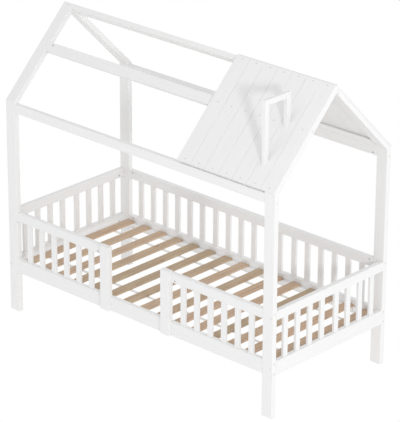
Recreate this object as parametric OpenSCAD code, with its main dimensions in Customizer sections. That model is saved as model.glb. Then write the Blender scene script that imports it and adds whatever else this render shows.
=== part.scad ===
// House-shaped bed for a child: four posts carry a pitched roof frame, one
// half-roof of boards with a chimney frame on it, and a guard rail all round
// with a gap to climb in by. The slatted base rolls up and lifts out.
// Origin: floor level under the middle of the bed. X runs along the bed,
// Y from the front to the back, Z up. Millimetres.

/* [Overall] */
// Length of the bed outside the posts
bed_length = 2070; // [1900:10:2270]
// Width of the bed outside the posts
bed_width = 960; // [920:10:1160]
// Height of the roof plane where it meets the outer face of a post
eave_height = 1320; // [1150:10:1450]
// Pitch of the roof in degrees
roof_pitch = 45; // [40:1:48]

/* [Posts and rafters] */
// Width of a post and a rafter, along the bed
post_w = 73; // [64:1:85]
// Depth of a post, across the bed
post_d = 32; // [31:1:42]
// Depth of a rafter, square to the slope
rafter_d = 30; // [27:1:36]
// Radius worked on the long edges of the timber
edge_r = 2.5; // [1:0.5:4]

/* [Rails] */
// Thickness of every rail
rail_t = 30; // [28:1:31]
// Height of the lower rails
lower_rail_h = 84; // [76:1:110]
// Height of the lower rails above the floor
lower_rail_z = 253; // [200:1:290]
// Height of the top rails
top_rail_h = 55; // [50:1:70]
// Height of the top edge of the guard above the floor
guard_top = 636; // [580:1:720]

/* [Roof frame] */
// Height of the eave beams
beam_h = 55; // [50:1:75]
// Thickness of the eave beams
beam_t = 30; // [28:1:31]
// Width of the purlin, along the slope
purlin_w = 60; // [56:1:80]
// Thickness of the purlin, square to the slope
purlin_t = 30; // [26:1:30]
// Distance from the ridge line down the slope to the purlin
purlin_from_ridge = 263; // [200:1:330]
// Width of the ridge board, down the back slope
ridge_w = 60; // [56:1:80]
// Thickness of the ridge board
ridge_t = 30; // [28:1:30]

/* [Balusters] */
// Width of a baluster
baluster_w = 35; // [28:1:45]
// Thickness of a baluster
baluster_t = 16; // [12:1:20]
// Balusters in one group of a long side
group_count = 6; // [4:1:6]
// Balusters in one half of a bed end
end_count = 4; // [2:1:4]
// Spacing of the balusters, centre to centre
baluster_pitch = 101.6; // [90:0.1:103]
// Depth of a baluster's stub tenon in its rail
tenon_depth = 12; // [8:1:18]
// Width of the shoulder on each side of a tenon
tenon_shoulder = 3; // [2:0.5:4]

/* [Entry] */
// Clear width of the gap to climb in by
entry_w = 408; // [340:1:440]
// Distance of the gap's middle from the middle of the bed
entry_centre = 7; // [-30:1:30]
// Width of an entry post, along the bed
entry_post_w = 67; // [55:1:75]
// Depth of an entry post, across the bed
entry_post_d = 33; // [30:1:38]
// Distance an entry post stands out from the rails
entry_proud = 16; // [13:1:19]
// Height of an entry post above the top rails
entry_over = 9; // [0:1:20]

/* [Slatted base] */
// Number of slats
slat_count = 15; // [10:1:18]
// Width of a slat
slat_w = 62; // [50:1:75]
// Thickness of a slat
slat_t = 12; // [10:1:20]
// Clearance between the slat ends and the rails
slat_end_clear = 5; // [3:1:10]
// Clearance between the outer slats and the end rails
slat_row_clear = 36; // [10:1:60]
// Width of the ledge that carries the slats
ledge_w = 20; // [18:1:30]
// Height of the ledge
ledge_h = 22; // [18:1:30]
// Height of the ledge's top above the floor
ledge_top = 300; // [285:1:310]
// Width of a strap
strap_w = 22; // [15:1:30]
// Thickness of a strap
strap_t = 1.2; // [0.8:0.1:2]
// Distance of a strap from the middle of the bed
strap_y = 272; // [150:1:330]

/* [Half roof] */
// Number of roof boards on each slope
board_count = 7; // [3:1:8]
// Width of a roof board
board_w = 100.5; // [80:0.5:110]
// Thickness of a roof board
board_t = 10; // [8:1:14]
// Gap between two roof boards
board_gap = 0.8; // [0.6:0.1:3]
// Bevel along the upper edges of a roof board
board_bevel = 1; // [0.5:0.5:3]
// Width of the batten that carries the boards at the eave
batten_w = 20; // [18:1:20]
// Distance of the batten from the outer face of the beam
batten_set = 10; // [6:1:10]
// Depth of the rebate along the inner top edge of the batten
rebate_d = 9; // [4:1:9]
// Height of the open gap that the rebate leaves under the boards
rebate_h = 12; // [5:1:13]

/* [Chimney] */
// Thickness of the chimney frame, along the bed
chimney_t = 20; // [15:1:30]
// Width of the chimney's bars
chimney_bar = 31; // [25:1:45]
// Width of the chimney, across the bed
chimney_span = 202; // [150:1:240]
// Distance of the chimney's front face from the middle of the bed
chimney_front = 403; // [330:1:420]
// Distance of the chimney's middle from the right-hand end of the bed
chimney_from_end = 157; // [110:1:200]
// Height of the chimney above the ridge line, less than zero where it ends below it
chimney_over = -13; // [-30:1:60]

/* [Fasteners] */
// Diameter of a bolt
bolt_d = 6; // [5:0.5:7]
// Diameter of a bolt's head
head_d = 12; // [10:0.5:13]
// Height of a bolt's head
head_h = 4; // [3:0.5:5]
// Depth of a head below the surface
head_sink = 0.5; // [0.5:0.5:3]
// Width across the flats of the socket in a head
socket_w = 4; // [3:0.5:5]
// Diameter of a barrel nut
nut_d = 10; // [9:0.5:12]
// Length of a barrel nut
nut_len = 20; // [14:1:22]
// Distance of a barrel nut from the joint, along the bed
nut_in = 31; // [26:1:36]
// Distance of a barrel nut from the joint, in the bed ends
end_nut_in = 40; // [26:1:44]
// Distance of a bolt or dowel from the edge of its rail
bolt_edge = 13; // [12:0.5:16]
// Length of the entry stud in its post
stud_bite = 16; // [12:1:24]
// Diameter of a dowel
dowel_d = 8; // [6:0.5:9]
// Length of a dowel on each side of its joint
dowel_half = 12; // [10:1:14]
// Diameter of a wood screw
screw_d = 3.5; // [3:0.5:4.5]
// Diameter of a wood screw's head
screw_head_d = 7.5; // [6.5:0.5:9]
// Width of the cross recess in a wood screw's head
cross_w = 0.9; // [0.6:0.1:1.1]
// Length of a wood screw in the second piece
screw_bite = 16; // [12:1:18]
// Clearance between a fastener and its hole, all round
hole_clear = 0.3; // [0.2:0.05:0.5]
// Clearance of a tenon in its mortise, all round
tenon_clear = 0.15; // [0.1:0.05:0.3]

/* [Hidden] */
$fn = 48;

hl = bed_length / 2;
hw = bed_width / 2;
in_x = hl - post_w;                 // inner side of the posts, from the middle
in_y = hw - post_d;                 // inner face of the posts, from the middle
pc = cos(roof_pitch);
ps = sin(roof_pitch);
pt = tan(roof_pitch);
ridge_z = eave_height + hw * pt;
slope_len = hw / pc;
post_top = eave_height + post_d * pt - rafter_d / pc;
lower_top = lower_rail_z + lower_rail_h;
top_low = guard_top - top_rail_h;

group_w = (group_count - 1) * baluster_pitch + baluster_w;
group_gap = (2 * in_x - 3 * group_w) / 4;
group_pitch = group_w + group_gap;
end_gap = baluster_pitch - baluster_w;
tenon_w = baluster_w - 2 * tenon_shoulder;
tenon_t = baluster_t - 2 * tenon_shoulder;
baluster_r = edge_r * 0.8;

slat_pitch = (2 * (hl - rail_t - slat_row_clear) - slat_w) / (slat_count - 1);
slat_len = 2 * (hw - rail_t - slat_end_clear);

board_pitch = board_w + board_gap;
roof_w = board_count * board_pitch - board_gap;
chimney_x = hl - chimney_from_end;
chimney_top = ridge_z + chimney_over;

overrun = 80;                       // how far uncut bars and drills run past the wood

bolt_hole = bolt_d + 2 * hole_clear;
head_hole = head_d + 2 * hole_clear;
head_pocket = head_sink + head_h;
nut_hole = nut_d + 2 * hole_clear;
dowel_hole = dowel_d + 2 * hole_clear;
screw_hole = screw_d + 2 * hole_clear;
cross_l = screw_head_d * 0.48;
cross_deep = (screw_head_d - screw_d) / 2 * 0.65;
bolt_tip = nut_d / 2 + 2;           // bolt beyond the middle of its nut
side_y = hw - rail_t / 2;           // line of the bolts along the bed
end_x = hl - rail_t / 2;            // line of the bolts across the bed
entry_y = -hw + (entry_post_d - entry_proud) / 2;
entry_nut_len = entry_post_d - entry_proud - 4;
beam_low = post_top - beam_h;
side_bolt_z = [lower_rail_z + bolt_edge, lower_top - bolt_edge,
               guard_top - bolt_edge, beam_low + bolt_edge];
side_dowel_z = [top_low + bolt_edge, post_top - bolt_edge];
end_bolt_z = [lower_rail_z + lower_rail_h / 2, top_low + bolt_edge + 2];
end_dowel_z = [lower_rail_z + bolt_edge + 5, lower_top - bolt_edge - 5, guard_top - bolt_edge - 2];
purlin_bolt = [-purlin_from_ridge - bolt_edge - 2, -purlin_t / 2];
purlin_dowel = [-purlin_from_ridge - purlin_w + bolt_edge + 2, -purlin_t / 2];
ridge_bolt = [-ridge_w + bolt_edge + 2, -ridge_t + nut_d / 2 + 3];
ridge_dowel = [-bolt_edge - 2, -ridge_t / 2];
apex_z = -rafter_d / 2 + 4;         // line of the screw through the rafter joint
apex_len = 2 * rafter_d;
foot_dowel_x = [0.3, 0.75] * post_w + [in_x, in_x];
rear_screw_y = -rafter_d - 6;       // upper screws of the back boards
entry_screw_z = [lower_rail_z + bolt_edge + 1, lower_top - bolt_edge - 5];
ledge_screw_x = [-0.87, -0.56, -0.17, 0.17, 0.56, 0.87] * in_x;

function board_x(i) = hl - roof_w + i * board_pitch + board_w / 2;
function side_xs(g) = [for (i = [0:group_count - 1])
                       g * group_pitch + (i - (group_count - 1) / 2) * baluster_pitch];
function end_ys() = [for (s = [-1, 1], i = [0:end_count - 1])
                     s * (in_y - end_gap - baluster_w / 2 - i * baluster_pitch)];
function roof_z(y) = ridge_z - abs(y) * pt;

white = "#f5f5f3";
pine = "#c8a078";
steel = "#8d8f92";
beech = "#d8b98c";
webbing = "#d9d8d4";

// Outline of a planed timber with its four edges rounded
module timber(a, b, r = edge_r) {
    translate([r, 0]) square([a - 2 * r, b]);
    translate([0, r]) square([a, b - 2 * r]);
    for (x = [r, a - r], y = [r, b - r]) translate([x, y]) circle(r);
}

module bar_x(x0, x1, y0, z0, a, b, r = edge_r)
    translate([x0, y0, z0]) rotate([90, 0, 90]) linear_extrude(x1 - x0) timber(a, b, r);
module bar_y(y0, y1, x0, z0, a, b, r = edge_r)
    translate([x0, y1, z0]) rotate([90, 0, 0]) linear_extrude(y1 - y0) timber(a, b, r);
module bar_z(z0, z1, x0, y0, a, b, r = edge_r)
    translate([x0, y0, z0]) linear_extrude(z1 - z0) timber(a, b, r);

module rod_x(x0, x1, y, z, d) translate([x0, y, z]) rotate([0, 90, 0]) cylinder(d = d, h = x1 - x0);
module rod_y(y0, y1, x, z, d) translate([x, y0, z]) rotate([-90, 0, 0]) cylinder(d = d, h = y1 - y0);
module rod_z(z0, z1, x, y, d) translate([x, y, z0]) cylinder(d = d, h = z1 - z0);

// A shape given across the bed, run along it
module prism_x(x0, x1) translate([x0, 0, 0]) rotate([90, 0, 90]) linear_extrude(x1 - x0) children();

// Places what is drawn for the right rear corner at any corner
module corner(sx, sy)
    mirror([sx < 0 ? 1 : 0, 0, 0]) mirror([0, sy < 0 ? 1 : 0, 0]) children();
// Places what is drawn to the right of the entry on either side of it
module entry_side(s)
    translate([entry_centre, 0, 0]) mirror([s < 0 ? 1 : 0, 0, 0]) children();
// Lays what is drawn flat onto a slope: Y runs up to the ridge, Z out of the roof
module on_slope(sy)
    mirror([0, sy > 0 ? 1 : 0, 0]) translate([0, 0, ridge_z]) rotate([roof_pitch, 0, 0]) children();

// ---- fasteners ----

// Socket-head bolt along X, its head towards +X at x1, its tip at x0
module bolt_x(x0, x1, y, z) difference() {
    union() {
        rod_x(x1 - head_h, x1, y, z, head_d);
        rod_x(x0, x1 - head_h * 0.8, y, z, bolt_d);
    }
    translate([x1 - head_h * 0.6, y, z]) rotate([0, 90, 0])
        cylinder(d = socket_w / cos(30), h = head_h, $fn = 6);
}
module bolt_y(y0, y1, x, z) translate([x, 0, z]) rotate([0, 0, 90]) bolt_x(y0, y1, 0, 0);
// Clearance hole for such a bolt, with the pocket for its head
module bolt_hole_x(x0, x1, y, z) {
    rod_x(x0, x1 + 1, y, z, bolt_hole);
    rod_x(x1 - head_pocket, x1 + overrun, y, z, head_hole);
}
module bolt_hole_y(y0, y1, x, z) translate([x, 0, z]) rotate([0, 0, 90]) bolt_hole_x(y0, y1, 0, 0);
// Barrel nut lying along Y round a bolt that runs along X
module nut_y(x, y, z, len = nut_len) difference() {
    rod_y(y - len / 2, y + len / 2, x, z, nut_d);
    rod_x(x - nut_d, x + nut_d, y, z, bolt_hole);
}
// Countersunk cross-head wood screw: head at z = 0, point down
module screw(len) difference() {
    union() {
        translate([0, 0, -screw_head_d / 2 + screw_d / 2])
            cylinder(d1 = screw_d, d2 = screw_head_d, h = (screw_head_d - screw_d) / 2);
        translate([0, 0, -len + 2])
            cylinder(d = screw_d, h = len - 2 - (screw_head_d - screw_d) / 2);
        translate([0, 0, -len]) cylinder(d1 = 0.8, d2 = screw_d, h = 2);
    }
    for (a = [0, 90]) rotate(a)
        translate([-cross_l / 2, -cross_w / 2, -cross_deep]) cube([cross_l, cross_w, cross_deep + 1]);
}
module screw_bore(len) {
    c = hole_clear;
    translate([0, 0, -screw_head_d / 2 + screw_d / 2 - c])
        cylinder(d1 = screw_hole, d2 = screw_head_d + 2 * c, h = (screw_head_d - screw_d) / 2 + c);
    translate([0, 0, -0.01]) cylinder(d = screw_head_d + 2 * c, h = 1);
    translate([0, 0, -len - c]) cylinder(d = screw_hole, h = len + c);
}

// Everything bored for the joint of a side rail or beam with the post at +X, +Y
module side_joint(bolts, dowels) {
    for (z = bolts) {
        rod_x(in_x - nut_in - bolt_tip - 1, in_x + 1, side_y, z, bolt_hole);
        rod_y(hw - rail_t - 1, side_y + nut_len / 2 + hole_clear, in_x - nut_in, z, nut_hole);
    }
    for (z = dowels) rod_x(in_x - dowel_half - 1, in_x + 1, side_y, z, dowel_hole);
}
// The same for an end rail
module end_joint(bolts, dowels) {
    for (z = bolts) {
        rod_y(in_y - end_nut_in - bolt_tip - 1, in_y + 1, end_x, z, bolt_hole);
        rod_x(hl - rail_t - 1, end_x + nut_len / 2 + hole_clear, in_y - end_nut_in, z, nut_hole);
    }
    for (z = dowels) rod_y(in_y - dowel_half - 1, in_y + 1, end_x, z, dowel_hole);
}

// ---- posts and rafters ----

module post(sx, sy) color(white) corner(sx, sy) difference() {
    bar_z(0, post_top, in_x, in_y, post_w, post_d);
    for (z = side_bolt_z) bolt_hole_x(in_x - 1, hl, side_y, z);
    for (z = end_bolt_z) bolt_hole_y(in_y - 1, hw, end_x, z);
    for (z = side_dowel_z) rod_x(in_x - 1, in_x + dowel_half + 1, side_y, z, dowel_hole);
    for (z = end_dowel_z) rod_y(in_y - 1, in_y + dowel_half + 0.5, end_x, z, dowel_hole);
    foot_bores(1);
}

module rafter_bar()
    on_slope(-1) bar_y(-slope_len - overrun, overrun, in_x, -rafter_d, post_w, rafter_d);
// Dowel holes between a post and the foot of its rafter
module foot_bores(sy) for (x = foot_dowel_x)
    rod_z(post_top - dowel_half - 1, post_top + dowel_half + 1, x, sy * (hw - post_d / 2), dowel_hole);
module apex_bore() on_slope(1) translate([hl - post_w / 2, 0, apex_z]) {
    rod_y(-apex_len - 1, 1, 0, 0, bolt_hole);
    rod_y(-head_pocket, overrun, 0, 0, head_hole);
}
// The front rafter runs up over the end of the rear one
module front_rafter(sx) color(white) corner(sx, 1) difference() {
    intersection() {
        rafter_bar();
        prism_x(in_x - 1, hl + 1) polygon([[-hw, post_top], [hw / 2, post_top],
            [hw / 2, ridge_z - hw / 2 * pt], [-hw, ridge_z + hw * pt]]);
    }
    foot_bores(-1);
    apex_bore();
    on_slope(-1) bolt_hole_x(in_x - 1, hl, purlin_bolt[0], purlin_bolt[1]);
    on_slope(-1) rod_x(in_x - 1, in_x + dowel_half + 1, purlin_dowel[0], purlin_dowel[1], dowel_hole);
    on_slope(1) rod_x(in_x - 1, in_x + dowel_half + 1, ridge_dowel[0], ridge_dowel[1], dowel_hole);
    roof_screw_bores(-1);
}
module rear_rafter(sx) color(white) corner(sx, 1) difference() {
    mirror([0, 1, 0]) intersection() {
        rafter_bar();
        prism_x(in_x - 1, hl + 1) polygon([[-hw, post_top],
            [-hw, ridge_z - rafter_d / pc + hw * pt],
            [(ridge_z - rafter_d / pc - post_top) / pt, post_top]]);
    }
    foot_bores(1);
    apex_bore();
    on_slope(1) bolt_hole_x(in_x - 1, hl, ridge_bolt[0], ridge_bolt[1]);
    roof_screw_bores(1);
}

// ---- roof frame ----

// Bores for the bolts and dowels at one end of a beam laid in a slope; the nut
// goes in from the side named by from: 1 for the outer face, -1 for the inner
module slope_joint(bolt, dowel, depth, from) {
    rod_x(in_x - nut_in - bolt_tip - 1, in_x + 1, bolt[0], bolt[1], bolt_hole);
    rod_x(in_x - dowel_half - 1, in_x + 1, dowel[0], dowel[1], dowel_hole);
    z0 = from > 0 ? bolt[1] - slope_nut(depth) / 2 - hole_clear : -depth - 1;
    z1 = from > 0 ? 1 : bolt[1] + slope_nut(depth) / 2 + hole_clear;
    rod_z(z0, z1, in_x - nut_in, bolt[0], nut_hole);
}
// The nut of a beam in a slope is as long as the wood lets it be
function slope_nut(depth) = min(nut_len, depth / 2);
module slope_nuts(bolt, depth) for (s = [-1, 1]) difference() {
    rod_z(bolt[1] - slope_nut(depth) / 2, bolt[1] + slope_nut(depth) / 2,
          s * (in_x - nut_in), bolt[0], nut_d);
    rod_x(s * (in_x - nut_in) - nut_d, s * (in_x - nut_in) + nut_d, bolt[0], bolt[1], bolt_hole);
}
module ridge_board() color(white) difference() {
    intersection() {
        on_slope(1) bar_x(-in_x, in_x, -ridge_w, -ridge_t, ridge_w, ridge_t);
        prism_x(-in_x - 1, in_x + 1) polygon([[-hw, roof_z(-hw)], [hw, roof_z(-hw) ],
            [hw, ridge_z + hw * pt]]);
    }
    on_slope(1) for (s = [-1, 1]) corner(s, 1) slope_joint(ridge_bolt, ridge_dowel, ridge_t, -1);
    roof_screw_bores(-1);
    roof_screw_bores(1);
}
module front_purlin() color(white) difference() {
    on_slope(-1) bar_x(-in_x, in_x, -purlin_from_ridge - purlin_w, -purlin_t, purlin_w, purlin_t);
    on_slope(-1) for (s = [-1, 1]) corner(s, 1) slope_joint(purlin_bolt, purlin_dowel, purlin_t, 1);
    roof_screw_bores(-1);
    chimney_bores();
}
module eave_beam(sy) color(white) corner(1, sy) difference() {
    bar_x(-in_x, in_x, hw - beam_t, beam_low, beam_t, beam_h);
    for (s = [-1, 1]) corner(s, 1) side_joint([side_bolt_z[3]], [side_dowel_z[1]]);
}
// Strip on the eave beam, its top cut to the pitch to carry the boards and rebated inside
module eave_batten(sy) color(white) difference() {
    y_out = hw - batten_set;
    y_in = y_out - batten_w;
    y_cut = y_in + rebate_d;
    corner(1, sy) prism_x(hl - roof_w, in_x) polygon([
        [y_out, post_top], [y_in, post_top], [y_in, roof_z(y_in) - rebate_h],
        [y_cut, roof_z(y_cut) - rebate_h], [y_cut, roof_z(y_cut)], [y_out, roof_z(y_out)]]);
    roof_screw_bores(sy);
}

// ---- half roof ----

// Where the screws of a board go, measured from the ridge line down the slope. The board
// under the chimney's rear leg has none in the purlin: the leg's own screw holds it there.
eave_screw_y = -slope_len + (batten_set + 5) / pc;
purlin_screw_y = -purlin_from_ridge - purlin_w / 2;
function under_leg(i) = abs(board_x(i) - chimney_x) < (chimney_t + screw_head_d) / 2 + 2;
function screw_ys(sy, i) = sy > 0 ? [rear_screw_y, eave_screw_y]
    : under_leg(i) ? [-ridge_t / 2, eave_screw_y]
    : [-ridge_t / 2, purlin_screw_y, eave_screw_y];
module roof_screw_places(sy) on_slope(sy) for (i = [0:board_count - 1], y = screw_ys(sy, i))
    translate([board_x(i), y, board_t]) children();
module roof_screw_bores(sy) roof_screw_places(sy) screw_bore(board_t + screw_bite);
module roof_board_screws() color(steel)
    for (sy = [-1, 1]) roof_screw_places(sy) screw(board_t + screw_bite);
module roof_boards(sy) color(white) difference() {
    on_slope(sy) for (i = [0:board_count - 1])
        translate([board_x(i) - board_w / 2, -0.1, 0]) rotate([90, 0, 0])
            linear_extrude(slope_len - 0.1) polygon([[0, 0], [board_w, 0],
                [board_w, board_t - board_bevel], [board_w - board_bevel, board_t],
                [board_bevel, board_t], [0, board_t - board_bevel]]);
    roof_screw_bores(sy);
    if (sy < 0) chimney_bores();
}

// ---- chimney ----

function deck_z(y) = roof_z(y) + board_t / pc;     // top of the boards
chimney_legs = [-chimney_front, -chimney_front + chimney_span - chimney_bar];
module chimney_dowel_holes() for (y = chimney_legs)
    rod_z(chimney_top - chimney_bar - dowel_half - 1, chimney_top - chimney_bar + dowel_half + 1,
          chimney_x, y + chimney_bar / 2, dowel_hole);
module chimney_leg(y0) color(white) difference() {
    prism_x(chimney_x - chimney_t / 2, chimney_x + chimney_t / 2)
        polygon([[y0, deck_z(y0)], [y0 + chimney_bar, deck_z(y0 + chimney_bar)],
                 [y0 + chimney_bar, chimney_top - chimney_bar], [y0, chimney_top - chimney_bar]]);
    chimney_bores();
    chimney_dowel_holes();
}
module chimney_top_bar() color(white) difference() {
    translate([chimney_x - chimney_t / 2, -chimney_front, chimney_top - chimney_bar])
        cube([chimney_t, chimney_span, chimney_bar]);
    chimney_dowel_holes();
}
// Screws up into the legs: through the board in front, through board and purlin behind
chimney_low = [0, purlin_t];
module chimney_screw_places() for (k = [0, 1]) on_slope(-1)
    translate([chimney_x, (chimney_legs[k] + chimney_bar * 0.54 + board_t * ps) / pc, -chimney_low[k]])
        rotate([180, 0, 0]) children(k);
module chimney_bores() chimney_screw_places() {
    screw_bore(chimney_low[0] + board_t + screw_bite - 2);
    screw_bore(chimney_low[1] + board_t + screw_bite - 2);
}
module chimney_screws() color(steel) chimney_screw_places() {
    screw(chimney_low[0] + board_t + screw_bite - 2);
    screw(chimney_low[1] + board_t + screw_bite - 2);
}

// ---- rails and balusters ----

module mortise(x, y, z, a, b) {
    c = tenon_clear;
    translate([x - a / 2 - c, y - b / 2 - c, z]) cube([a + 2 * c, b + 2 * c, tenon_depth + 2 * c]);
}
// Mortises for the balusters at xs, in the top of the lower rail or under the top rail
mortise_z = [lower_top - tenon_depth - tenon_clear, top_low - tenon_clear];
module side_mortises(xs, sy)
    for (x = xs, z = mortise_z) mortise(x, sy * side_y, z, tenon_w, tenon_t);
module end_mortises()
    for (y = end_ys(), z = mortise_z) mortise(end_x, y, z, tenon_t, tenon_w);

module side_balusters(xs, sy) color(white) for (x = xs) {
    bar_z(lower_top, top_low, x - baluster_w / 2, sy * side_y - baluster_t / 2,
          baluster_w, baluster_t, baluster_r);
    translate([x - tenon_w / 2, sy * side_y - tenon_t / 2, lower_top - tenon_depth])
        cube([tenon_w, tenon_t, top_low - lower_top + 2 * tenon_depth]);
}
module end_balusters(sx) color(white) for (y = end_ys()) corner(sx, 1) {
    bar_z(lower_top, top_low, end_x - baluster_t / 2, y - baluster_w / 2,
          baluster_t, baluster_w, baluster_r);
    translate([end_x - tenon_t / 2, y - tenon_w / 2, lower_top - tenon_depth])
        cube([tenon_t, tenon_w, top_low - lower_top + 2 * tenon_depth]);
}

module rear_lower_rail() color(white) difference() {
    bar_x(-in_x, in_x, hw - rail_t, lower_rail_z, rail_t, lower_rail_h);
    for (s = [-1, 1]) corner(s, 1) side_joint([side_bolt_z[0], side_bolt_z[1]], []);
    side_mortises(concat(side_xs(-1), side_xs(0), side_xs(1)), 1);
    ledge_bores(1);
}
// The front rail is cut back on its outer face for the two entry posts
module front_lower_rail() color(white) difference() {
    bar_x(-in_x, in_x, -hw, lower_rail_z, rail_t, lower_rail_h);
    for (s = [-1, 1]) corner(s, -1) side_joint([side_bolt_z[0], side_bolt_z[1]], []);
    side_mortises(concat(side_xs(-1), side_xs(1)), -1);
    for (s = [-1, 1]) entry_side(s)
        translate([entry_w / 2, -hw - 1, lower_rail_z - 1])
            cube([entry_post_w, entry_post_d - entry_proud + 1, lower_rail_h + 2]);
    entry_screw_bores();
    ledge_bores(-1);
}
module rear_top_rail() color(white) difference() {
    bar_x(-in_x, in_x, hw - rail_t, top_low, rail_t, top_rail_h);
    for (s = [-1, 1]) corner(s, 1) side_joint([side_bolt_z[2]], [side_dowel_z[0]]);
    side_mortises(concat(side_xs(-1), side_xs(0), side_xs(1)), 1);
}
module front_top_rail(s) color(white) difference() {
    x_in = entry_w / 2 + entry_post_w + s * entry_centre;
    corner(s, 1) bar_x(x_in, in_x, -hw, top_low, rail_t, top_rail_h);
    corner(s, -1) side_joint([side_bolt_z[2]], [side_dowel_z[0]]);
    side_mortises(side_xs(s), -1);
    entry_side(s) {
        x0 = entry_w / 2 + entry_post_w;
        rod_x(x0 - 1, x0 + nut_in + bolt_tip + 1, entry_y, side_dowel_z[0], bolt_hole);
        rod_y(-hw - 1, entry_y + entry_nut_len / 2 + hole_clear, x0 + nut_in, side_dowel_z[0], nut_hole);
        rod_x(x0 - 1, x0 + dowel_half + 1, entry_y, side_bolt_z[2], dowel_hole);
    }
}
module end_rail(sx, z0, h, bolts, dowels) color(white) corner(sx, 1) difference() {
    bar_y(-in_y, in_y, hl - rail_t, z0, rail_t, h);
    for (s = [-1, 1]) corner(1, s) end_joint(bolts, dowels);
    end_mortises();
}

// ---- entry posts ----

module entry_post(s) color(white) difference() {
    entry_side(s) difference() {
        bar_z(lower_rail_z, guard_top + entry_over, entry_w / 2, -hw - entry_proud,
              entry_post_w, entry_post_d);
        rod_x(entry_w / 2 + entry_post_w - stud_bite - 1, entry_w / 2 + entry_post_w + 1,
              entry_y, side_dowel_z[0], bolt_hole);
        rod_x(entry_w / 2 + entry_post_w - dowel_half - 1, entry_w / 2 + entry_post_w + 1,
              entry_y, side_bolt_z[2], dowel_hole);
    }
    entry_screw_bores();
}
module entry_screw_places() for (s = [-1, 1], z = entry_screw_z) entry_side(s)
    translate([entry_w / 2 + entry_post_w / 2, -hw + rail_t, z]) rotate([-90, 0, 0]) children();
module entry_screw_bores() entry_screw_places() screw_bore(rail_t);
module entry_post_screws() color(steel) entry_screw_places() screw(rail_t);

// ---- ledges and slatted base ----

module ledge_screw_places(sy) for (x = ledge_screw_x)
    translate([x, sy * (hw - rail_t - ledge_w), ledge_top - ledge_h / 2])
        rotate([sy > 0 ? 90 : -90, 0, 0]) children();
ledge_screw_len = ledge_w + screw_bite - 2;
module ledge_bores(sy) ledge_screw_places(sy) screw_bore(ledge_screw_len);
module ledge_screws() color(steel)
    for (sy = [-1, 1]) ledge_screw_places(sy) screw(ledge_screw_len);
module slat_ledge(sy) color(white) difference() {
    corner(1, sy) bar_x(-in_x, in_x, hw - rail_t - ledge_w, ledge_top - ledge_h, ledge_w, ledge_h, 1.5);
    ledge_bores(sy);
}
slat_row = (slat_count - 1) * slat_pitch + slat_w;
module slats() color(pine) for (i = [0:slat_count - 1])
    bar_y(-slat_len / 2, slat_len / 2, -slat_row / 2 + i * slat_pitch, ledge_top, slat_w, slat_t, 2);
module slat_strap(sy) color(webbing)
    translate([-slat_row / 2, sy * strap_y - strap_w / 2, ledge_top - strap_t])
        cube([slat_row, strap_w, strap_t]);

// ---- bolts, nuts and dowels ----

module side_rail_bolts() color(steel) for (sx = [-1, 1], sy = [-1, 1], z = side_bolt_z)
    corner(sx, sy) bolt_x(in_x - nut_in - bolt_tip, hl - head_sink, side_y, z);
module end_rail_bolts() color(steel) for (sx = [-1, 1], sy = [-1, 1], z = end_bolt_z)
    corner(sx, sy) bolt_y(in_y - end_nut_in - bolt_tip, hw - head_sink, end_x, z);
module entry_post_studs() color(steel) for (s = [-1, 1]) entry_side(s)
    rod_x(entry_w / 2 + entry_post_w - stud_bite, entry_w / 2 + entry_post_w + nut_in + bolt_tip,
          entry_y, side_dowel_z[0], bolt_d);
module roof_beam_bolts() color(steel) for (sx = [-1, 1]) corner(sx, 1) {
    on_slope(-1) bolt_x(in_x - nut_in - bolt_tip, hl - head_sink, purlin_bolt[0], purlin_bolt[1]);
    on_slope(1) bolt_x(in_x - nut_in - bolt_tip, hl - head_sink, ridge_bolt[0], ridge_bolt[1]);
}
module rafter_joint_screws() color(steel) for (sx = [-1, 1]) corner(sx, 1)
    on_slope(1) bolt_y(-apex_len, -head_sink, hl - post_w / 2, apex_z);
module barrel_nuts() color(steel) {
    for (sx = [-1, 1], sy = [-1, 1]) corner(sx, sy) {
        for (z = side_bolt_z) nut_y(in_x - nut_in, side_y, z);
        for (z = end_bolt_z)
            translate([end_x, in_y - end_nut_in, z]) rotate([0, 0, 90]) nut_y(0, 0, 0);
    }
    for (s = [-1, 1]) entry_side(s)
        nut_y(entry_w / 2 + entry_post_w + nut_in, entry_y, side_dowel_z[0], entry_nut_len);
    on_slope(-1) slope_nuts(purlin_bolt, purlin_t);
    on_slope(1) slope_nuts(ridge_bolt, ridge_t);
}
module dowels() color(beech) {
    for (sx = [-1, 1], sy = [-1, 1]) corner(sx, sy) {
        for (z = side_dowel_z) rod_x(in_x - dowel_half, in_x + dowel_half, side_y, z, dowel_d);
        for (z = end_dowel_z) rod_y(in_y - dowel_half, in_y + dowel_half, end_x, z, dowel_d);
        for (x = foot_dowel_x)
            rod_z(post_top - dowel_half, post_top + dowel_half, x, hw - post_d / 2, dowel_d);
    }
    for (s = [-1, 1]) entry_side(s) rod_x(entry_w / 2 + entry_post_w - dowel_half,
        entry_w / 2 + entry_post_w + dowel_half, entry_y, side_bolt_z[2], dowel_d);
    for (y = chimney_legs) rod_z(chimney_top - chimney_bar - dowel_half,
        chimney_top - chimney_bar + dowel_half, chimney_x, y + chimney_bar / 2, dowel_d);
    for (sx = [-1, 1]) corner(sx, 1) {
        on_slope(-1)
            rod_x(in_x - dowel_half, in_x + dowel_half, purlin_dowel[0], purlin_dowel[1], dowel_d);
        on_slope(1)
            rod_x(in_x - dowel_half, in_x + dowel_half, ridge_dowel[0], ridge_dowel[1], dowel_d);
    }
}

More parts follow.
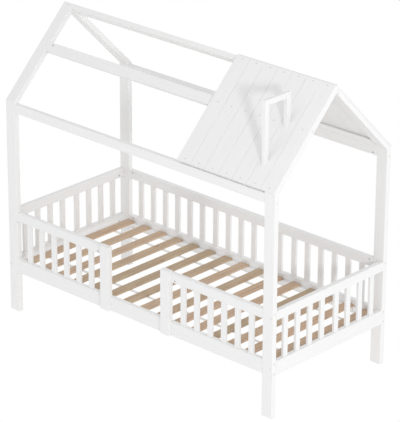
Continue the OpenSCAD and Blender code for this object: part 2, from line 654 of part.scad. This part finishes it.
post(-1, -1);  // front_left_post
post(1, -1);  // front_right_post
post(-1, 1);  // rear_left_post
post(1, 1);  // rear_right_post
front_rafter(-1);  // front_left_rafter
front_rafter(1);  // front_right_rafter
rear_rafter(-1);  // rear_left_rafter
rear_rafter(1);  // rear_right_rafter
ridge_board();
front_purlin();
eave_beam(-1);  // front_eave_beam
eave_beam(1);  // rear_eave_beam
eave_batten(-1);  // front_eave_batten
eave_batten(1);  // rear_eave_batten
roof_boards(-1);  // front_roof_boards
roof_boards(1);  // rear_roof_boards
chimney_leg(chimney_legs[0]);  // chimney_front_leg
chimney_leg(chimney_legs[1]);  // chimney_rear_leg
chimney_top_bar();
front_lower_rail();
rear_lower_rail();
end_rail(-1, lower_rail_z, lower_rail_h, [end_bolt_z[0]], [end_dowel_z[0], end_dowel_z[1]]);  // left_end_lower_rail
end_rail(1, lower_rail_z, lower_rail_h, [end_bolt_z[0]], [end_dowel_z[0], end_dowel_z[1]]);  // right_end_lower_rail
front_top_rail(-1);  // front_left_top_rail
front_top_rail(1);  // front_right_top_rail
rear_top_rail();
end_rail(-1, top_low, top_rail_h, [end_bolt_z[1]], [end_dowel_z[2]]);  // left_end_top_rail
end_rail(1, top_low, top_rail_h, [end_bolt_z[1]], [end_dowel_z[2]]);  // right_end_top_rail
entry_post(-1);  // left_entry_post
entry_post(1);  // right_entry_post
side_balusters(side_xs(-1), -1);  // front_left_balusters
side_balusters(side_xs(1), -1);  // front_right_balusters
side_balusters(concat(side_xs(-1), side_xs(0), side_xs(1)), 1);  // rear_balusters
end_balusters(-1);  // left_end_balusters
end_balusters(1);  // right_end_balusters
slat_ledge(-1);  // front_slat_ledge
slat_ledge(1);  // rear_slat_ledge
side_rail_bolts();
end_rail_bolts();
entry_post_studs();
roof_beam_bolts();
rafter_joint_screws();
barrel_nuts();
dowels();
roof_board_screws();
ledge_screws();
entry_post_screws();
chimney_screws();
slats();
slat_strap(-1);  // front_slat_strap
slat_strap(1);  // rear_slat_strap
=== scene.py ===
import math

import bmesh
import bpy
from mathutils import Matrix, Vector

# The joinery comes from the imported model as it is. This script gives it lacquer, bare pine,
# plated and coated steel, beech and webbing, and sets up the studio and the camera.
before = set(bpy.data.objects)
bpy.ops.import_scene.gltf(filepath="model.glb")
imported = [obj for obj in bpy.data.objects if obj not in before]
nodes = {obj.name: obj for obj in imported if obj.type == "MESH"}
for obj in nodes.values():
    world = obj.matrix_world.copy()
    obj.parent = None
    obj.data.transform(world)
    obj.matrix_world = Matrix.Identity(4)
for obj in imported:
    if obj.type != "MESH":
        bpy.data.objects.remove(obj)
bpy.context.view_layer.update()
scene = bpy.context.scene
MM = 0.001
SLAT_PITCH = 134 * MM           # from the middle of one slat to the middle of the next
BAND_PITCH = math.pi / 10       # spacing of a wave texture's bands at scale 1
BED_MIDDLE = Vector((0, 0, 1.0))    # what the lights are aimed at
PAPER_HALF_WIDTH = 14.0


def srgb(hex_text):
    """A colour given as sRGB hex, made linear for the shaders."""
    parts = [int(hex_text[i:i + 2], 16) / 255 for i in (1, 3, 5)]
    linear = [c / 12.92 if c <= 0.04045 else ((c + 0.055) / 1.055) ** 2.4 for c in parts]
    return (*linear, 1.0)


def add(tree, kind, inputs=None, **settings):
    """Adds a node with its settings; an input is a value or the socket that feeds it."""
    made = tree.nodes.new(kind)
    for name, value in settings.items():
        setattr(made, name, value)
    for name, value in (inputs or {}).items():
        if isinstance(value, bpy.types.NodeSocket):
            tree.links.new(value, made.inputs[name])
        else:
            made.inputs[name].default_value = value
    return made


def start_material(name):
    made = bpy.data.materials.new(name)
    made.use_nodes = True
    made.node_tree.nodes.clear()
    return made, made.node_tree


def finish_material(tree, shader):
    add(tree, "ShaderNodeOutputMaterial", {"Surface": shader.outputs[0]})


def ramp(tree, factor, stops):
    """A colour ramp through the given (position, colour) stops."""
    made = add(tree, "ShaderNodeValToRGB", {"Fac": factor})
    marks = made.color_ramp.elements
    while len(marks) < len(stops):
        marks.new(0.5)
    for mark, (position, colour) in zip(marks, stops):
        mark.position = position
        mark.color = colour
    return made


def multiply_colours(tree, ground, tint, share):
    """The ground colour darkened by the tint, by the given share of its full effect."""
    made = add(tree, "ShaderNodeMix", {"Factor": share}, data_type="RGBA", blend_type="MULTIPLY")
    colours = [socket for socket in made.inputs if socket.type == "RGBA"]
    for socket, source in zip(colours, (ground, tint)):
        tree.links.new(source, socket)
    return next(socket for socket in made.outputs if socket.type == "RGBA")


# Which way the grain runs in each group of timbers: turns of the pattern about X, Y and Z
# that lay its long direction, the pattern's X, along the timber.
ALONG_X = (0, 0, 0)
ALONG_Y = (0, 0, math.pi / 2)
ALONG_Z = (0, math.pi / 2, 0)
UP_FRONT_SLOPE = (0, math.radians(-45), math.radians(90))
UP_BACK_SLOPE = (0, math.radians(-45), math.radians(-90))


def grain_space(tree, turn, pitch_along, pitch_across):
    """Object coordinates turned so that X runs with the grain, scaled from millimetres."""
    where = add(tree, "ShaderNodeTexCoord")
    turned = add(tree, "ShaderNodeVectorRotate", {
        "Vector": where.outputs["Object"], "Rotation": turn},
        rotation_type="EULER_XYZ", invert=True)
    return add(tree, "ShaderNodeMapping", {
        "Vector": turned.outputs[0],
        "Scale": (1 / (pitch_along * MM), 1 / (pitch_across * MM), 1 / (pitch_across * MM))})


def white_lacquer(name, turn):
    """Planed pine under a sprayed satin white lacquer: an even, neutral white whose film
    shows a whisper of long grain, a fine orange peel, and a soft rather than a glassy shine."""
    made, tree = start_material(name)
    lines = grain_space(tree, turn, 160, 5.5)
    grain = add(tree, "ShaderNodeTexNoise", {
        "Vector": lines.outputs[0], "Scale": 1.0, "Detail": 4.0, "Roughness": 0.55})
    peel_space = grain_space(tree, turn, 1.6, 1.6)
    peel = add(tree, "ShaderNodeTexNoise", {
        "Vector": peel_space.outputs[0], "Scale": 1.0, "Detail": 2.0})
    film = ramp(tree, grain.outputs["Fac"], [
        (0.30, srgb("#E5E5E5")), (0.52, srgb("#E8E8E8")), (0.75, srgb("#EAEAEA"))])
    shine = add(tree, "ShaderNodeMapRange", {
        "Value": grain.outputs["Fac"], "From Min": 0.3, "From Max": 0.7,
        "To Min": 0.50, "To Max": 0.40})
    ridges = add(tree, "ShaderNodeBump", {
        "Height": grain.outputs["Fac"], "Strength": 0.3, "Distance": 0.05 * MM})
    skin = add(tree, "ShaderNodeBump", {
        "Height": peel.outputs["Fac"], "Normal": ridges.outputs[0],
        "Strength": 0.2, "Distance": 0.03 * MM})
    shader = add(tree, "ShaderNodeBsdfPrincipled", {
        "Base Color": film.outputs["Color"], "Roughness": shine.outputs[0],
        "Normal": skin.outputs[0], "IOR": 1.48, "Specular IOR Level": 0.45})
    finish_material(tree, shader)
    return made


def bare_pine():
    """Planed, uncoated pine slats: warm tan with darker growth lines along each slat, a small
    knot here and there, each slat its own shade, and no shine."""
    made, tree = start_material("planed_bare_pine")
    where = add(tree, "ShaderNodeTexCoord")
    apart = add(tree, "ShaderNodeSeparateXYZ", {"Vector": where.outputs["Object"]})
    # a slat is in the middle of each step, so its number is the same all over it
    steps = add(tree, "ShaderNodeMath", {0: apart.outputs["X"], 1: 1 / SLAT_PITCH, 2: 0.5},
                operation="MULTIPLY_ADD")
    slat = add(tree, "ShaderNodeMath", {0: steps.outputs[0]}, operation="FLOOR")
    luck = add(tree, "ShaderNodeTexWhiteNoise", {"W": slat.outputs[0]}, noise_dimensions="1D")
    jump = add(tree, "ShaderNodeVectorMath", {0: luck.outputs["Color"], 1: (3.0, 5.0, 2.0)},
               operation="MULTIPLY")
    own = add(tree, "ShaderNodeVectorMath", {0: where.outputs["Object"], 1: jump.outputs[0]},
              operation="ADD")
    stretch = add(tree, "ShaderNodeMapping", {
        "Vector": own.outputs[0], "Scale": (1 / (9 * MM), 1 / (260 * MM), 1 / (9 * MM))})
    bend = add(tree, "ShaderNodeTexNoise", {
        "Vector": stretch.outputs[0], "Scale": 0.35, "Detail": 2.0})
    warped = add(tree, "ShaderNodeVectorMath", {
        0: stretch.outputs[0], 1: bend.outputs["Color"]}, operation="ADD")
    rings = add(tree, "ShaderNodeTexNoise", {
        "Vector": warped.outputs[0], "Scale": 1.0, "Detail": 5.0, "Roughness": 0.6})
    fibre_space = add(tree, "ShaderNodeMapping", {
        "Vector": own.outputs[0], "Scale": (1 / (0.9 * MM), 1 / (35 * MM), 1 / (0.9 * MM))})
    fibre = add(tree, "ShaderNodeTexNoise", {
        "Vector": fibre_space.outputs[0], "Scale": 1.0, "Detail": 2.0})
    wood = ramp(tree, rings.outputs["Fac"], [
        (0.28, srgb("#C0A896")), (0.46, srgb("#CAB5A4")), (0.60, srgb("#D3C1B1")),
        (0.78, srgb("#DACBBD"))])
    shade = ramp(tree, luck.outputs["Value"], [
        (0.0, srgb("#E3DECD")), (0.45, srgb("#F2EBDE")), (1.0, srgb("#F7EBDE"))])
    toned = multiply_colours(tree, wood.outputs["Color"], shade.outputs["Color"], 1.0)
    # knots, about one to a slat, 10 to 14 mm across and drawn out a little with the grain
    knot_space = add(tree, "ShaderNodeMapping", {
        "Vector": own.outputs[0], "Scale": (1 / (120 * MM), 1 / (330 * MM), 1 / (120 * MM))})
    knots = add(tree, "ShaderNodeTexVoronoi", {
        "Vector": knot_space.outputs[0], "Scale": 1.0, "Randomness": 1.0})
    ring = ramp(tree, knots.outputs["Distance"], [
        (0.030, srgb("#94714F")), (0.055, srgb("#B8967A")), (0.10, srgb("#FFFFFF"))])
    marked = multiply_colours(tree, toned, ring.outputs["Color"], 0.55)
    planed = add(tree, "ShaderNodeBump", {
        "Height": fibre.outputs["Fac"], "Strength": 0.6, "Distance": 0.10 * MM})
    grown = add(tree, "ShaderNodeBump", {
        "Height": rings.outputs["Fac"], "Normal": planed.outputs[0],
        "Strength": 0.4, "Distance": 0.15 * MM})
    dry = add(tree, "ShaderNodeMapRange", {
        "Value": fibre.outputs["Fac"], "To Min": 0.62, "To Max": 0.78})
    shader = add(tree, "ShaderNodeBsdfPrincipled", {
        "Base Color": marked, "Roughness": dry.outputs[0],
        "Normal": grown.outputs[0], "IOR": 1.5, "Specular IOR Level": 0.3})
    finish_material(tree, shader)
    return made


def turned_beech():
    """Beech dowel: pale, close-grained, with short darker flecks."""
    made, tree = start_material("turned_beech")
    where = add(tree, "ShaderNodeTexCoord")
    fine = add(tree, "ShaderNodeMapping", {
        "Vector": where.outputs["Object"],
        "Scale": (1 / (3.3 * MM), 1 / (1.4 * MM), 1 / (1.4 * MM))})
    flecks = add(tree, "ShaderNodeTexNoise", {
        "Vector": fine.outputs[0], "Scale": 1.0, "Detail": 3.0})
    colour = ramp(tree, flecks.outputs["Fac"], [
        (0.35, srgb("#B98E62")), (0.6, srgb("#DDBB8F"))])
    shader = add(tree, "ShaderNodeBsdfPrincipled", {
        "Base Color": colour.outputs["Color"], "Roughness": 0.65, "IOR": 1.5})
    finish_material(tree, shader)
    return made


def zinc_plate():
    """Blue-passivated zinc on steel: dull grey with soft cloudy patches and a broad highlight."""
    made, tree = start_material("zinc_plated_steel")
    where = add(tree, "ShaderNodeTexCoord")
    patches = add(tree, "ShaderNodeTexNoise", {
        "Vector": where.outputs["Object"], "Scale": 1 / (2.4 * MM), "Detail": 3.0})
    colour = ramp(tree, patches.outputs["Fac"], [
        (0.35, srgb("#8E9194")), (0.65, srgb("#B7B9BC"))])
    dull = add(tree, "ShaderNodeMapRange", {
        "Value": patches.outputs["Fac"], "To Min": 0.32, "To Max": 0.48})
    shader = add(tree, "ShaderNodeBsdfPrincipled", {
        "Base Color": colour.outputs["Color"], "Metallic": 1.0, "Roughness": dull.outputs[0]})
    finish_material(tree, shader)
    return made


def white_coated_steel(name, darker_grey, full):
    """Steel powder-coated white: a smooth film in two close greys mixed by fine noise, greyer
    than the lacquered wood round it; the darker greys given for the small screws are painted
    shade of their recesses."""
    made, tree = start_material(name)
    where = add(tree, "ShaderNodeTexCoord")
    skin = add(tree, "ShaderNodeTexNoise", {
        "Vector": where.outputs["Object"], "Scale": 1 / (0.7 * MM), "Detail": 2.0})
    colour = ramp(tree, skin.outputs["Fac"], [(0.35, srgb(darker_grey)), (0.65, srgb(full))])
    dimples = add(tree, "ShaderNodeBump", {
        "Height": skin.outputs["Fac"], "Strength": 0.3, "Distance": 0.05 * MM})
    shader = add(tree, "ShaderNodeBsdfPrincipled", {
        "Base Color": colour.outputs["Color"], "Roughness": 0.42,
        "Normal": dimples.outputs[0], "IOR": 1.5})
    finish_material(tree, shader)
    return made


def woven_webbing():
    """Plain-woven polyester webbing: off-white, with a rib every 1.5 mm along the band and a
    warp thread every 1 mm across it, matt with a faint sheen."""
    made, tree = start_material("woven_polyester_webbing")
    where = add(tree, "ShaderNodeTexCoord")
    weft = add(tree, "ShaderNodeTexWave", {
        "Vector": where.outputs["Object"], "Scale": BAND_PITCH / (1.5 * MM),
        "Distortion": 0.3, "Detail": 0.0}, wave_type="BANDS", bands_direction="X")
    warp = add(tree, "ShaderNodeTexWave", {
        "Vector": where.outputs["Object"], "Scale": BAND_PITCH / (1.0 * MM),
        "Distortion": 0.3, "Detail": 0.0}, wave_type="BANDS", bands_direction="Y")
    threads = add(tree, "ShaderNodeMath", {0: weft.outputs["Fac"], 1: warp.outputs["Fac"]},
                  operation="MULTIPLY")
    colour = ramp(tree, threads.outputs[0], [
        (0.0, srgb("#E4E3DF")), (0.6, srgb("#F8F7F4"))])
    weave = add(tree, "ShaderNodeBump", {
        "Height": threads.outputs[0], "Strength": 0.7, "Distance": 0.25 * MM})
    shader = add(tree, "ShaderNodeBsdfPrincipled", {
        "Base Color": colour.outputs["Color"], "Roughness": 0.85, "Normal": weave.outputs[0],
        "Sheen Weight": 0.2, "Sheen Roughness": 0.5})
    finish_material(tree, shader)
    return made


# ---- finishes on the joinery ----

lacquer_x = white_lacquer("white_lacquer_along_the_bed", ALONG_X)
lacquer_y = white_lacquer("white_lacquer_across_the_bed", ALONG_Y)
lacquer_z = white_lacquer("white_lacquer_upright", ALONG_Z)
lacquer_front_slope = white_lacquer("white_lacquer_up_the_front_slope", UP_FRONT_SLOPE)
lacquer_back_slope = white_lacquer("white_lacquer_up_the_back_slope", UP_BACK_SLOPE)
pine = bare_pine()
beech = turned_beech()
zinc = zinc_plate()
coated_bolts = white_coated_steel("white_powder_coated_bolts", "#D8DADB", "#E1E3E4")
# the screws' darker greys are painted shade of the recesses they sit in
screws_coating_painted_shade = white_coated_steel("white_powder_coated_screws", "#C2C4C5", "#CED0D1")
webbing = woven_webbing()

FINISHES = {
    lacquer_z: ["front_left_post", "front_right_post", "rear_left_post", "rear_right_post",
                "left_entry_post", "right_entry_post", "front_left_balusters",
                "front_right_balusters", "rear_balusters", "left_end_balusters",
                "right_end_balusters", "chimney_front_leg", "chimney_rear_leg"],
    lacquer_x: ["ridge_board", "front_purlin", "front_eave_beam", "rear_eave_beam",
                "front_eave_batten", "rear_eave_batten", "front_lower_rail",
                "rear_lower_rail", "front_left_top_rail", "front_right_top_rail",
                "rear_top_rail", "front_slat_ledge", "rear_slat_ledge"],
    lacquer_y: ["left_end_lower_rail", "right_end_lower_rail", "left_end_top_rail",
                "right_end_top_rail", "chimney_top_bar"],
    lacquer_front_slope: ["front_left_rafter", "front_right_rafter", "front_roof_boards"],
    lacquer_back_slope: ["rear_left_rafter", "rear_right_rafter", "rear_roof_boards"],
    pine: ["slats"],
    beech: ["dowels"],
    zinc: ["entry_post_studs", "barrel_nuts", "ledge_screws", "entry_post_screws",
           "chimney_screws"],
    coated_bolts: ["side_rail_bolts", "end_rail_bolts", "roof_beam_bolts",
                   "rafter_joint_screws"],
    screws_coating_painted_shade: ["roof_board_screws"],
    webbing: ["front_slat_strap", "rear_slat_strap"],
}
for finish, names in FINISHES.items():
    for name in names:
        data = nodes[name].data
        data.materials.clear()
        data.materials.append(finish)

# ---- studio ----

floor_mesh = bmesh.new()
bmesh.ops.create_grid(floor_mesh, x_segments=1, y_segments=1, size=PAPER_HALF_WIDTH)
floor_data = bpy.data.meshes.new("studio_floor")
floor_mesh.to_mesh(floor_data)
floor_mesh.free()
floor = bpy.data.objects.new("studio_floor", floor_data)
scene.collection.objects.link(floor)
# White paper lit from behind, so that it prints as pure white, as round the photographed bed
paper, paper_tree = start_material("white_seamless_paper")
finish_material(paper_tree, add(paper_tree, "ShaderNodeEmission", {
    "Color": (1.0, 1.0, 1.0, 1.0), "Strength": 1.0}))
floor_data.materials.append(paper)

world = bpy.data.worlds.new("studio_air")
scene.world = world
world.use_nodes = True
air = world.node_tree.nodes["Background"]
air.inputs["Color"].default_value = (1.0, 1.0, 1.0, 1.0)
air.inputs["Strength"].default_value = 0.79


def softbox(name, azimuth, elevation, distance, size, watts):
    """A square area light aimed at the middle of the bed from a compass bearing and a height."""
    a, e = math.radians(azimuth), math.radians(elevation)
    way = Vector((math.sin(a) * math.cos(e), -math.cos(a) * math.cos(e), math.sin(e)))
    lamp = bpy.data.lights.new(name, "AREA")
    lamp.shape = "SQUARE"
    lamp.size = size
    lamp.energy = watts
    made = bpy.data.objects.new(name, lamp)
    made.location = BED_MIDDLE + way * distance
    made.rotation_euler = way.to_track_quat("Z", "Y").to_euler()
    scene.collection.objects.link(made)


# bearing and height in degrees, distance and edge length in metres, power in watts
softbox("low_key_beside_the_camera", 58, 14.5, 9.65, 0.8, 217)
softbox("right_end_panel", 88, 50, 9.0, 4.0, 21)
softbox("front_panel", 2, 50, 9.0, 4.0, 64)
softbox("back_panel", 130, 20, 9.0, 4.0, 68)

# ---- camera: solved from the edges of the photographed bed ----

camera_data = bpy.data.cameras.new("camera")
camera_data.sensor_fit = "HORIZONTAL"
camera_data.sensor_width = 36.0
focal_px, photo_width_px = 2581.9, 400
camera_data.lens = focal_px * camera_data.sensor_width / photo_width_px
camera_data.clip_end = 100.0
camera = bpy.data.objects.new("camera", camera_data)
scene.collection.objects.link(camera)
place = Vector((9.2766, -9.8952, 6.4991))
aim = Vector((0.0224, 0.0287, 0.7784))
roll = math.radians(0.32)
turn = (place - aim).to_track_quat("Z", "Y").to_matrix() @ Matrix.Rotation(roll, 3, "Z")
camera.matrix_world = Matrix.Translation(place) @ turn.to_4x4()
scene.camera = camera
scene.view_settings.view_transform = "Standard"
